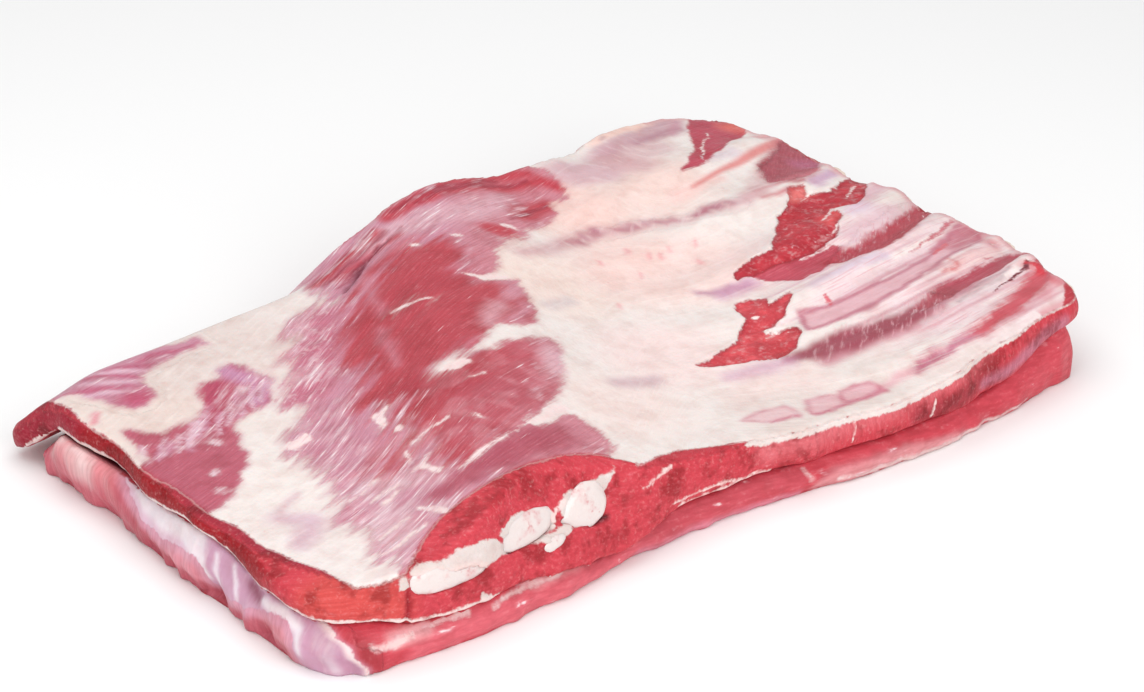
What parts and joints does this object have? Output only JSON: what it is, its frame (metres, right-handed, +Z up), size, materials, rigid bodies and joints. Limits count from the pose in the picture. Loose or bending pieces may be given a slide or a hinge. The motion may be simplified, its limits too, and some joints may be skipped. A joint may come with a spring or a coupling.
{
  "type": "veal breast",
  "caption": "Raw bone-in veal breast lying flat, inner side up: flank sheet and midriff ridge beside a ribbed white lining, with cut lean sides and breastbone cartilage.",
  "frame": {"origin": "bottom centre of the box around the whole piece, on the table", "axes": "+X from the flank to the sawn rib ends, -Y to the cut through the breastbone, +Z up"},
  "size_m": [0.5272, 0.3274, 0.072],
  "materials": {
    "lined_meat": "moist",
    "lean_meat": "moist",
    "bone": "sawn",
    "cartilage": "moist"
  },
  "bodies": {
    "root": {"rib_wall": "lined_meat", "outer_layer": "lean_meat", "rib_1": "bone", "rib_2": "bone", "rib_3": "bone", "rib_4": "bone", "rib_5": "bone", "rib_6": "bone", "rib_7": "bone", "cartilage_1": "cartilage", "cartilage_2": "cartilage", "cartilage_3": "cartilage", "cartilage_4": "cartilage"}
  },
  "joints": []
}
